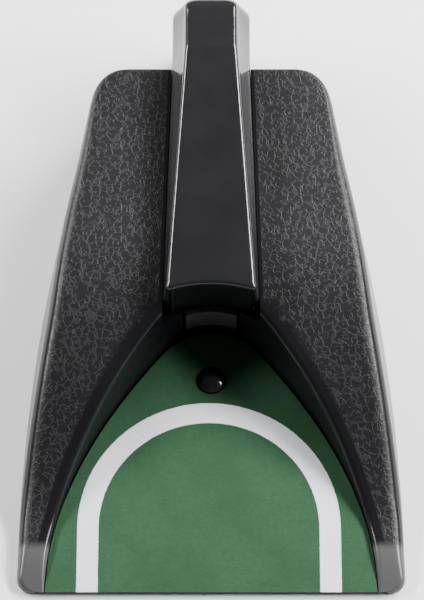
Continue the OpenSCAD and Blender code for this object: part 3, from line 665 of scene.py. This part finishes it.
def build_button():
    """Turned cap: flange, stem with a softened foot, and a domed top with a rolled edge."""
    low, high = BUTTON_BOX[0].z, BUTTON_BOX[1].z
    flange_r = (BUTTON_BOX[1].x - BUTTON_BOX[0].x) / 2
    centre = high - DOME_R
    flange_top = low + FLANGE_T
    profile = [(0, low), (flange_r - FLANGE_EDGE, low), (flange_r, low + FLANGE_EDGE),
               (flange_r, flange_top - FLANGE_EDGE), (flange_r - FLANGE_EDGE, flange_top),
               (BUTTON_R + STEM_FOOT, flange_top), (BUTTON_R, flange_top + STEM_FOOT)]
    reach = math.asin((BUTTON_R - CAP_EDGE) / (DOME_R - CAP_EDGE))
    for s in range(7):
        a = mix(0, math.pi / 2 - reach, s / 6)
        x0 = (DOME_R - CAP_EDGE) * math.sin(reach)
        z0 = centre + (DOME_R - CAP_EDGE) * math.cos(reach)
        profile.append((x0 + CAP_EDGE * math.cos(a), z0 + CAP_EDGE * math.sin(a)))
    profile += [(DOME_R * math.sin(reach * s / 14), centre + DOME_R * math.cos(reach * s / 14))
                for s in range(13, -1, -1)]
    count = 72
    points = []
    for s in range(count):
        a = 2 * math.pi * s / count
        points += [(r * math.cos(a), BUTTON_Y + r * math.sin(a), z) for r, z in profile]
    size = len(profile)
    faces = [(s * size + j, (s + 1) % count * size + j, (s + 1) % count * size + j + 1, s * size + j + 1)
             for s in range(count) for j in range(size - 1)]
    button = mesh_object("trigger_button_cap", points, faces, 50)
    return finished(button, "trigger_button", "gloss_black")


# ---------- materials ----------

class Nodes:
    """Small builder for one node material."""

    def __init__(self, name):
        self.material = bpy.data.materials.new(name)
        self.material.use_nodes = True
        self.tree = self.material.node_tree
        self.shader = self.tree.nodes["Principled BSDF"]
        self.place = self.add("ShaderNodeTexCoord").outputs["Object"]

    def add(self, kind, **settings):
        node = self.tree.nodes.new(kind)
        for key, value in settings.items():
            setattr(node, key, value)
        return node

    def feed(self, socket, value):
        if isinstance(value, bpy.types.NodeSocket):
            self.tree.links.new(value, socket)
        else:
            socket.default_value = value

    def shade(self, **values):
        for key, value in values.items():
            self.feed(self.shader.inputs[key.replace("_", " ")], value)

    def math(self, operation, a, b=0.0, clamp=False):
        node = self.add("ShaderNodeMath", operation=operation, use_clamp=clamp)
        self.feed(node.inputs[0], a)
        self.feed(node.inputs[1], b)
        return node.outputs[0]

    def band(self, value, low, high, to_low=0.0, to_high=1.0):
        node = self.add("ShaderNodeMapRange", interpolation_type="SMOOTHSTEP")
        for socket, v in zip(node.inputs, (value, low, high, to_low, to_high)):
            self.feed(socket, v)
        return node.outputs[0]

    def scaled(self, place, factors):
        node = self.add("ShaderNodeVectorMath", operation="MULTIPLY")
        self.feed(node.inputs[0], place)
        node.inputs[1].default_value = factors
        return node.outputs[0]

    def noise(self, place, size_mm, detail=2.0, roughness=0.5, distortion=0.0):
        node = self.add("ShaderNodeTexNoise")
        self.feed(node.inputs["Vector"], place)
        node.inputs["Scale"].default_value = 1 / (size_mm * MM)
        node.inputs["Detail"].default_value = detail
        node.inputs["Roughness"].default_value = roughness
        node.inputs["Distortion"].default_value = distortion
        return node.outputs["Fac"]

    def warped(self, place, size_mm, amount_mm):
        node = self.add("ShaderNodeTexNoise")
        self.feed(node.inputs["Vector"], place)
        node.inputs["Scale"].default_value = 1 / (size_mm * MM)
        centred = self.add("ShaderNodeVectorMath", operation="SUBTRACT")
        self.feed(centred.inputs[0], node.outputs["Color"])
        centred.inputs[1].default_value = (0.5, 0.5, 0.5)
        moved = self.add("ShaderNodeVectorMath", operation="MULTIPLY_ADD")
        self.feed(moved.inputs[0], centred.outputs[0])
        moved.inputs[1].default_value = (2 * amount_mm * MM,) * 3
        self.feed(moved.inputs[2], place)
        return moved.outputs[0]

    def cell_edges(self, place, size_mm):
        node = self.add("ShaderNodeTexVoronoi", feature="DISTANCE_TO_EDGE")
        self.feed(node.inputs["Vector"], place)
        node.inputs["Scale"].default_value = 1 / (size_mm * MM)
        return node.outputs["Distance"]

    def tint(self, factor, low, high):
        node = self.add("ShaderNodeMix", data_type="RGBA")
        self.feed(node.inputs["Factor"], factor)
        self.feed(node.inputs["A"], (*low, 1) if isinstance(low, tuple) else low)
        self.feed(node.inputs["B"], (*high, 1) if isinstance(high, tuple) else high)
        return node.outputs["Result"]

    def bump(self, height, depth_mm, under=None):
        node = self.add("ShaderNodeBump")
        self.feed(node.inputs["Height"], height)
        node.inputs["Distance"].default_value = depth_mm * MM
        node.inputs["Strength"].default_value = 1.0
        if under is not None:
            self.feed(node.inputs["Normal"], under)
        return node.outputs["Normal"]


def coordinates(n):
    split = n.add("ShaderNodeSeparateXYZ")
    n.feed(split.inputs[0], n.place)
    return split.outputs


def textured_black():
    """Crackle-grained moulded plastic: short raised wrinkles, smooth along the rim, nose and spine. The
    nose's lighter grey is painted reflection, and the strokes' lighter tint is painted highlight.
    """
    n = Nodes("textured_black")
    x, y, _ = coordinates(n)
    bent = n.warped(n.place, 3.2, 1.1)
    lines = n.math("SUBTRACT", 1.0, n.band(n.cell_edges(bent, 3.6), 0.01, 0.09))
    fine = n.math("SUBTRACT", 1.0, n.band(n.cell_edges(n.warped(n.place, 2.4, 0.9), 2.3), 0.01, 0.11))
    broken = n.band(n.noise(n.place, 3.4, 1.0), 0.36, 0.5)
    broken_fine = n.band(n.noise(n.place, 2.8, 1.0), 0.5, 0.6)
    strokes = n.math("MAXIMUM", n.math("MULTIPLY", lines, broken), n.math("MULTIPLY", fine, broken_fine))
    grain = n.add("ShaderNodeAttribute", attribute_name="grain").outputs["Fac"]
    past_nose = n.band(y, FRONT_Y + 19 * MM, FRONT_Y + 24 * MM)
    side = n.math("ABSOLUTE", x)
    slope = (SPINE_BASE_REAR - SPINE_BASE_FRONT) / (BODY_L - SPINE_REF_Y)
    junction = n.math("MULTIPLY_ADD", y, slope)
    junction.node.inputs[2].default_value = SPINE_BASE_FRONT * MM - slope * (SPINE_REF_Y * MM + FRONT_Y)
    off_spine = n.band(n.math("SUBTRACT", side, junction), 1.4 * MM, 2.2 * MM)
    mask = n.math("MULTIPLY", n.math("MULTIPLY", grain, past_nose), off_spine)
    raised = n.math("MULTIPLY", strokes, mask)
    mottled = n.noise(n.place, 1.1, 3.0, 0.6)
    height = n.math("ADD", raised, n.math("MULTIPLY", n.math("MULTIPLY", mottled, mask), 0.16))
    wear = n.noise(n.place, 30, 2.0)
    base = n.tint(wear, (0.005, 0.005, 0.006), (0.008, 0.008, 0.009))
    # The nose gets a lighter grey base colour: painted reflection of the light on its forward-sloping face
    base = n.tint(past_nose, (0.068, 0.068, 0.069), base)
    # The raised strokes are tinted lighter than the base: painted highlight along the ridges
    n.shade(
        Base_Color=n.tint(n.math("MULTIPLY", raised, 0.8), base, (0.022, 0.022, 0.023)),
        Specular_IOR_Level=0.24,
        Roughness=n.band(n.math("ADD", mask, n.math("MULTIPLY", wear, 0.1)), 0.0, 1.1, 0.24, 0.46),
        Normal=n.bump(height, 0.075),
    )
    return n.material


def gloss_black():
    """Polished moulded plastic with faint flow unevenness and fine handling marks."""
    n = Nodes("gloss_black")
    haze = n.noise(n.place, 22, 3.0)
    marks = n.noise(n.scaled(n.place, (1, 0.12, 1)), 0.7, 2.0)
    n.shade(
        Base_Color=n.tint(haze, (0.008, 0.008, 0.009), (0.013, 0.013, 0.014)),
        Roughness=n.band(n.math("ADD", haze, n.math("MULTIPLY", marks, 0.3)), 0.35, 0.95, 0.13, 0.2),
        Normal=n.bump(n.math("ADD", haze, n.math("MULTIPLY", marks, 0.02)), 0.05),
    )
    return n.material


def moulded_black():
    """Fine spark-eroded texture of plain inner and under parts."""
    n = Nodes("moulded_black")
    grain = n.noise(n.place, 0.6, 3.0, 0.7)
    haze = n.noise(n.place, 18, 2.0)
    n.shade(
        Base_Color=n.tint(haze, (0.012, 0.012, 0.013), (0.022, 0.022, 0.023)),
        Roughness=n.band(grain, 0.3, 0.7, 0.42, 0.58),
        Normal=n.bump(grain, 0.04),
    )
    return n.material


LINE_X = -1.0
LINE_CY = 31.2
LINE_MID_R = 56.5
LINE_HALF = 4.9
LINE_SOFT = 0.3


def green_felt():
    """Flocked green felt with the white U line printed on it."""
    n = Nodes("green_felt")
    x, y, _ = coordinates(n)
    dx = n.math("SUBTRACT", x, LINE_X * MM)
    dy = n.math("MAXIMUM", n.math("SUBTRACT", y, LINE_CY * MM + FRONT_Y), 0.0)
    far = n.math("SQRT", n.math("ADD", n.math("MULTIPLY", dx, dx), n.math("MULTIPLY", dy, dy)))
    off = n.math("ABSOLUTE", n.math("SUBTRACT", far, LINE_MID_R * MM))
    fray = n.math("MULTIPLY", n.math("SUBTRACT", n.noise(n.place, 0.8, 2.0), 0.5), 0.7 * MM)
    edge = n.math("ADD", off, fray)
    outside = n.band(edge, (LINE_HALF - LINE_SOFT) * MM, (LINE_HALF + LINE_SOFT) * MM)
    line = n.math("SUBTRACT", 1.0, outside)
    fibres = n.noise(n.warped(n.place, 1.4, 0.6), 0.5, 3.0, 0.7)
    clumps = n.noise(n.place, 2.4, 3.0, 0.6)
    patches = n.noise(n.place, 26, 2.0)
    green = n.tint(n.math("ADD", n.math("MULTIPLY", fibres, 0.5), n.math("MULTIPLY", clumps, 0.5)),
                   (0.007, 0.034, 0.013), (0.025, 0.090, 0.038))
    green = n.tint(n.band(patches, 0.35, 0.7, 0.0, 0.55), green, (0.009, 0.044, 0.017))
    white = n.tint(n.math("ADD", n.math("MULTIPLY", fibres, 0.6), n.math("MULTIPLY", clumps, 0.3)),
                   (0.62, 0.63, 0.68), (0.86, 0.86, 0.90))
    fuzz = n.math("ADD", fibres, n.math("MULTIPLY", clumps, 0.8))
    n.shade(Base_Color=n.tint(line, green, white), Roughness=0.93, Sheen_Weight=0.25, Sheen_Roughness=0.5,
            Specular_IOR_Level=0.2, Normal=n.bump(fuzz, 0.22))
    n.shader.inputs["Sheen Tint"].default_value = (0.75, 0.9, 0.78, 1)
    return n.material


def metal(name, dark, light, rough, grain_mm, stretch=(1, 1, 1)):
    """Bare or plated metal with a drawn or tumbled grain."""
    n = Nodes(name)
    grain = n.noise(n.scaled(n.place, stretch), grain_mm, 3.0, 0.6)
    n.shade(
        Base_Color=n.tint(grain, dark, light),
        Metallic=1.0,
        Roughness=n.band(grain, 0.3, 0.7, rough - 0.07, rough + 0.07),
        Normal=n.bump(grain, 0.012),
    )
    return n.material


def plastic(name, dark, light, rough, grain_mm=0.8, depth_mm=0.03):
    """Plain moulded plastic or rubber with a fine grain."""
    n = Nodes(name)
    grain = n.noise(n.place, grain_mm, 3.0, 0.6)
    cloud = n.noise(n.place, 12, 2.0)
    n.shade(
        Base_Color=n.tint(cloud, dark, light),
        Roughness=n.band(grain, 0.3, 0.7, rough - 0.06, rough + 0.08),
        Normal=n.bump(grain, depth_mm),
    )
    return n.material


def board_green():
    """Solder-resist green with faint copper tracks under it."""
    n = Nodes("board_green")
    tracks = n.add("ShaderNodeTexWave", bands_direction="X")
    n.feed(tracks.inputs["Vector"], n.warped(n.place, 9, 2.5))
    tracks.inputs["Scale"].default_value = 0.32 / MM
    under = n.band(tracks.outputs["Fac"], 0.55, 0.7)
    n.shade(
        Base_Color=n.tint(under, (0.010, 0.075, 0.030), (0.022, 0.130, 0.055)),
        Roughness=0.28,
        Normal=n.bump(under, 0.03),
    )
    return n.material


MATERIALS = {
    "textured_black": textured_black(),
    "gloss_black": gloss_black(),
    "moulded_black": moulded_black(),
    "green_felt": green_felt(),
    "cell_jacket": plastic("cell_jacket", (0.42, 0.24, 0.05), (0.55, 0.33, 0.08), 0.3, 2.0, 0.01),
    "spring_steel": metal("spring_steel", (0.42, 0.42, 0.44), (0.62, 0.62, 0.64), 0.28, 0.5),
    "axle_steel": metal("axle_steel", (0.50, 0.50, 0.52), (0.68, 0.68, 0.70), 0.22, 0.6, (0.2, 1, 1)),
    "plated_steel": metal("plated_steel", (0.48, 0.49, 0.50), (0.66, 0.67, 0.68), 0.34, 2.2),
    "red_plastic": plastic("red_plastic", (0.46, 0.035, 0.020), (0.56, 0.055, 0.030), 0.36),
    "black_rubber": plastic("black_rubber", (0.018, 0.018, 0.018), (0.030, 0.030, 0.030), 0.72, 0.5, 0.06),
    "white_nylon": plastic("white_nylon", (0.66, 0.65, 0.58), (0.76, 0.75, 0.69), 0.4),
    "copper_rotor": metal("copper_rotor", (0.44, 0.19, 0.10), (0.62, 0.30, 0.17), 0.35, 0.4, (0.15, 1, 1)),
    "brass": metal("brass", (0.52, 0.36, 0.12), (0.68, 0.50, 0.20), 0.26, 0.6, (0.2, 1, 1)),
    "board_green": board_green(),
    "red_wire": plastic("red_wire", (0.42, 0.020, 0.015), (0.52, 0.040, 0.025), 0.38, 0.6, 0.01),
}

for cad_node in frame["nodes"].values():
    for material_slot in cad_node.material_slots:
        material_slot.material = MATERIALS[material_slot.material.name.split(".")[0]]

build_case()
build_spine()
build_felt()
build_button()


# ---------- floor, light and camera ----------

def floor_material():
    n = Nodes("studio_paper")
    fibre = n.noise(n.place, 3.0, 3.0)
    n.shade(Base_Color=n.tint(fibre, (0.86, 0.86, 0.86), (0.90, 0.90, 0.90)), Roughness=0.85,
            Normal=n.bump(fibre, 0.02))
    return n.material


def build_floor():
    """Paper sweep: flat under the object, curving up far behind it."""
    half, depth, rise = 4000.0, 4000.0, 1600.0
    steps = 24
    profile = [(-3000.0, 0.0), (depth - rise, 0.0)]
    for s in range(1, steps + 1):
        a = math.pi / 2 * s / steps
        profile.append((depth - rise + rise * math.sin(a), rise - rise * math.cos(a)))
    points = [(x, y, z) for y, z in profile for x in (-half, half)]
    faces = [(2 * k, 2 * k + 1, 2 * k + 3, 2 * k + 2) for k in range(len(profile) - 1)]
    floor = mesh_object("studio_floor", points, faces)
    floor.data.materials.append(floor_material())


def softbox(name, place, aim, size, power):
    lamp = bpy.data.lights.new(name, "AREA")
    lamp.shape = "RECTANGLE"
    lamp.size, lamp.size_y = size
    lamp.energy = power
    made = bpy.data.objects.new(name, lamp)
    made.location = place
    made.rotation_euler = (Vector(aim) - Vector(place)).to_track_quat("-Z", "Y").to_euler()
    bpy.context.scene.collection.objects.link(made)


def build_light():
    """Bright surroundings low down, a dimmer ceiling, and two long softboxes beside and behind the object."""
    world = bpy.data.worlds.new("studio")
    world.use_nodes = True
    tree = world.node_tree
    background = tree.nodes["Background"]
    place = tree.nodes.new("ShaderNodeTexCoord")
    split = tree.nodes.new("ShaderNodeSeparateXYZ")
    height = tree.nodes.new("ShaderNodeMapRange")
    height.interpolation_type = "SMOOTHSTEP"
    tree.links.new(place.outputs["Generated"], split.inputs[0])
    tree.links.new(split.outputs["Z"], height.inputs["Value"])
    for key, value in WORLD_RAMP.items():
        height.inputs[key].default_value = value
    tree.links.new(height.outputs["Result"], background.inputs["Strength"])
    bpy.context.scene.world = world
    for name, place, size, power in SOFTBOXES:
        softbox(name, place, (0, 0, 0.02), size, power)


WORLD_RAMP = {"From Min": 0.1, "From Max": 0.75, "To Min": 4.2, "To Max": 1.9}
SOFTBOXES = (
    ("softbox_right", (0.80, 0.42, 0.66), (1.3, 0.16), 60),
    ("softbox_left", (-0.88, 0.42, 0.60), (1.1, 0.10), 30),
)
CAMERA_TILT = 64.15
CAMERA_FAR = 1.351
CAMERA_LENS = 169.3
AIM = Vector((0.0004, FRONT_Y + 141.7 * MM, 20 * MM))


def build_camera():
    lens = bpy.data.cameras.new("camera")
    lens.lens = CAMERA_LENS
    lens.sensor_width = 36
    tilt = math.radians(CAMERA_TILT)
    made = bpy.data.objects.new("camera", lens)
    back = Vector((0, -math.cos(tilt), math.sin(tilt)))
    made.location = AIM + back * CAMERA_FAR
    made.rotation_euler = (-back).to_track_quat("-Z", "Y").to_euler()
    bpy.context.scene.collection.objects.link(made)
    bpy.context.scene.camera = made


build_floor()
build_light()
build_camera()
